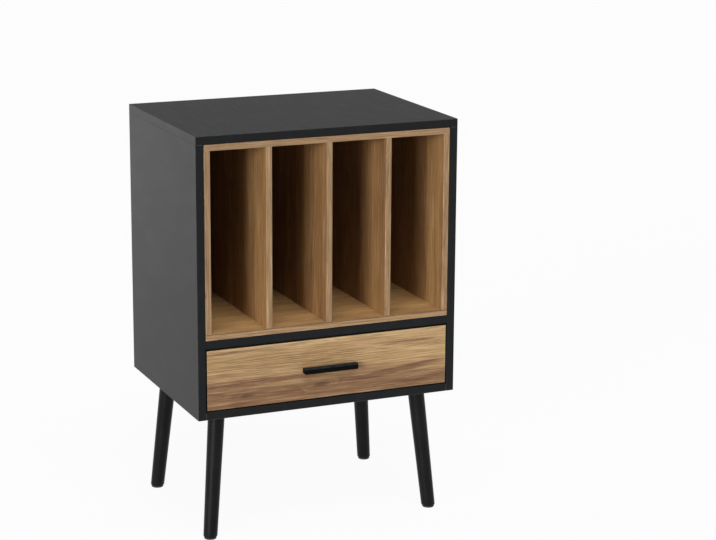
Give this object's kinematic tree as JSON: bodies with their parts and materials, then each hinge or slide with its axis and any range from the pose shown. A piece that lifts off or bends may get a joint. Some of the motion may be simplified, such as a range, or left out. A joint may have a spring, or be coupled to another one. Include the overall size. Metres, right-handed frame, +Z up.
{
  "type": "record storage stand",
  "caption": "Black cabinet on splayed tapered legs, with a pull-out wooden box of upright record compartments above a drawer on roller runners.",
  "frame": {"origin": "on the floor, in the middle of the whole stand with its handle", "axes": "+X to the right of someone facing the front, -Y out of the front, +Z up"},
  "size_m": [0.5, 0.385, 0.745],
  "materials": {
    "black_board": "satin black laminate",
    "record_wood": "matt laminate with the look of rustic oak",
    "drawer_wood": "matt laminate with the look of rustic oak",
    "drawer_board": "matt laminate with the look of rustic oak",
    "back_sheet": "thin fibreboard with a black face",
    "record_sheet": "thin fibreboard with a wood-look face",
    "drawer_sheet": "thin fibreboard with a wood-look face",
    "dowel_wood": "plain beech",
    "steel": "zinc-plated",
    "cam_zinc": "die-cast zinc alloy",
    "runner_white": "white powder coat",
    "plate_black": "black powder coat",
    "leg_black": "satin black paint",
    "foot_pad": "matt",
    "handle_black": "matt black powder coat",
    "roller_nylon": "natural nylon"
  },
  "bodies": {
    "cabinet": {"top_panel": "black_board", "left_side_panel": "black_board", "right_side_panel": "black_board", "middle_shelf": "black_board", "bottom_panel": "black_board", "cabinet_back_panel": "back_sheet", "cabinet_dowels": "dowel_wood", "cabinet_cam_bolts": "cam_zinc", "cabinet_cam_locks": "cam_zinc", "leg_plate_front_left": "plate_black", "leg_plate_front_right": "plate_black", "leg_plate_back_left": "plate_black", "leg_plate_back_right": "plate_black", "leg_plate_screws": "steel", "leg_front_left": "leg_black", "leg_front_right": "leg_black", "leg_back_left": "leg_black", "leg_back_right": "leg_black", "leg_bolts": "steel", "foot_pads": "foot_pad", "cabinet_rail_left": "runner_white", "cabinet_rail_right": "runner_white", "rail_screws": "steel", "rail_rivets": "steel"},
    "record_box": {"box_top": "record_wood", "box_bottom": "record_wood", "box_left_side": "record_wood", "box_right_side": "record_wood", "box_divider_left": "record_wood", "box_divider_centre": "record_wood", "box_divider_right": "record_wood", "box_back_panel": "record_sheet", "box_dowels": "dowel_wood", "box_cam_bolts": "cam_zinc", "box_cam_locks": "cam_zinc", "box_screws": "steel"},
    "drawer": {"drawer_front": "drawer_wood", "drawer_left_side": "drawer_board", "drawer_right_side": "drawer_board", "drawer_back": "drawer_board", "drawer_bottom": "drawer_sheet", "drawer_dowels": "dowel_wood", "drawer_cam_bolts": "cam_zinc", "drawer_cam_locks": "cam_zinc", "drawer_screws": "steel", "drawer_handle": "handle_black", "handle_screws": "steel", "drawer_runner_left": "runner_white", "drawer_runner_right": "runner_white", "runner_screws": "steel", "runner_rivets": "steel"},
    "rail_roller_left": {"rail_roller_left": "roller_nylon"},
    "rail_roller_right": {"rail_roller_right": "roller_nylon"},
    "runner_roller_left": {"runner_roller_left": "roller_nylon"},
    "runner_roller_right": {"runner_roller_right": "roller_nylon"}
  },
  "joints": [
    {"name": "record_box_slide", "type": "slide", "parent": "cabinet", "child": "record_box", "axis": [0, -1, 0], "range_m": [0, 0.37]},
    {"name": "drawer_slide", "type": "slide", "parent": "cabinet", "child": "drawer", "axis": [0, -1, 0], "range_m": [0, 0.23]},
    {"name": "rail_roller_left_turn", "type": "hinge", "parent": "cabinet", "child": "rail_roller_left", "pos_m": [-0.23015, -0.1475, 0.2705], "axis": [1, 0, 0], "range_deg": [0, 1200]},
    {"name": "rail_roller_right_turn", "type": "hinge", "parent": "cabinet", "child": "rail_roller_right", "pos_m": [0.23015, -0.1475, 0.2705], "axis": [1, 0, 0], "range_deg": [0, 1200]},
    {"name": "runner_roller_left_turn", "type": "hinge", "parent": "drawer", "child": "runner_roller_left", "pos_m": [-0.22735, 0.1245, 0.2714], "axis": [1, 0, 0], "range_deg": [0, 1110]},
    {"name": "runner_roller_right_turn", "type": "hinge", "parent": "drawer", "child": "runner_roller_right", "pos_m": [0.22735, 0.1245, 0.2714], "axis": [1, 0, 0], "range_deg": [0, 1110]}
  ],
  "couplings": [
    {"joint": "rail_roller_left_turn", "follows": "drawer_slide", "rad_per_m": 90.909},
    {"joint": "rail_roller_right_turn", "follows": "drawer_slide", "rad_per_m": 90.909},
    {"joint": "runner_roller_left_turn", "follows": "drawer_slide", "rad_per_m": 84.034},
    {"joint": "runner_roller_right_turn", "follows": "drawer_slide", "rad_per_m": 84.034}
  ]
}
